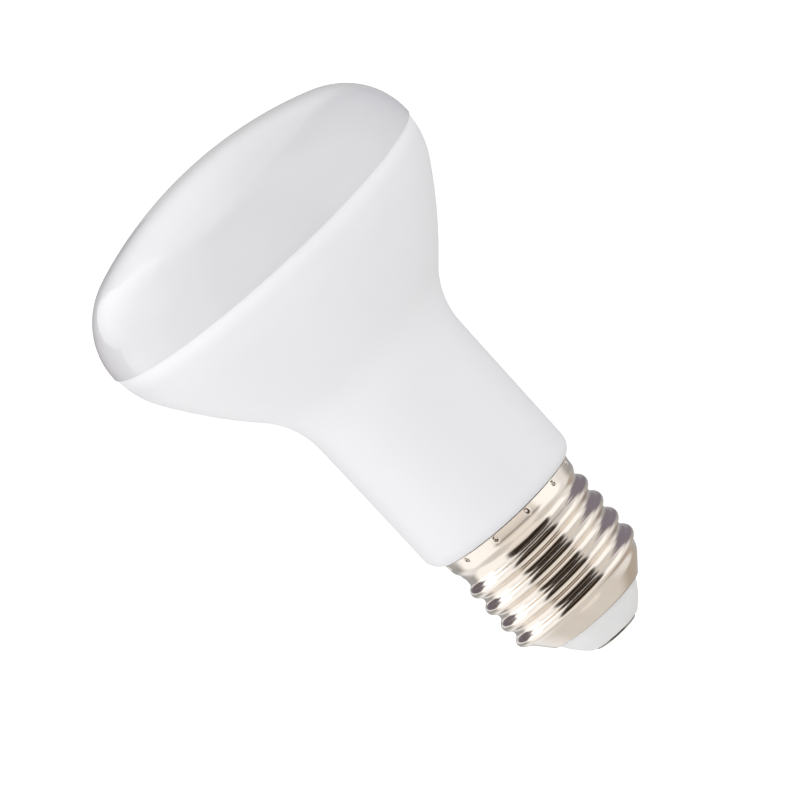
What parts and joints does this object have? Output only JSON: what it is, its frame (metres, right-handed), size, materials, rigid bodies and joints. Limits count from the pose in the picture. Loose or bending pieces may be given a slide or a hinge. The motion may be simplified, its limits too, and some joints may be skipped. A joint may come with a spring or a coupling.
{
  "type": "reflector bulb",
  "caption": "Mushroom-shaped reflector lamp with a domed milky face, a white flared housing, a nickel-plated screw cap and a centre contact in a pale insulator.",
  "frame": {"origin": "centre of the centre contact's outer face, on the lamp's axis, which is where the screw cap's standard measures its lengths from", "axes": "+Z along the axis from the contact to the domed face; +Y points away from someone who sees the lamp from the picture's side; X completes a right-handed frame"},
  "size_m": [0.0632, 0.0632, 0.1007],
  "materials": {
    "milky_polycarbonate": "milky translucent polycarbonate, glossy",
    "white_thermoplastic": "white moulded thermoplastic, satin",
    "nickel_plated_sheet": "rolled sheet, bright nickel plating",
    "pale_insulator": "pale moulded insulating resin",
    "contact_metal": "nickel-plated brass pin contact"
  },
  "bodies": {
    "root": {"diffuser": "milky_polycarbonate", "housing": "white_thermoplastic", "screw_cap": "nickel_plated_sheet", "cap_insulator": "pale_insulator", "centre_contact": "contact_metal"}
  },
  "joints": []
}
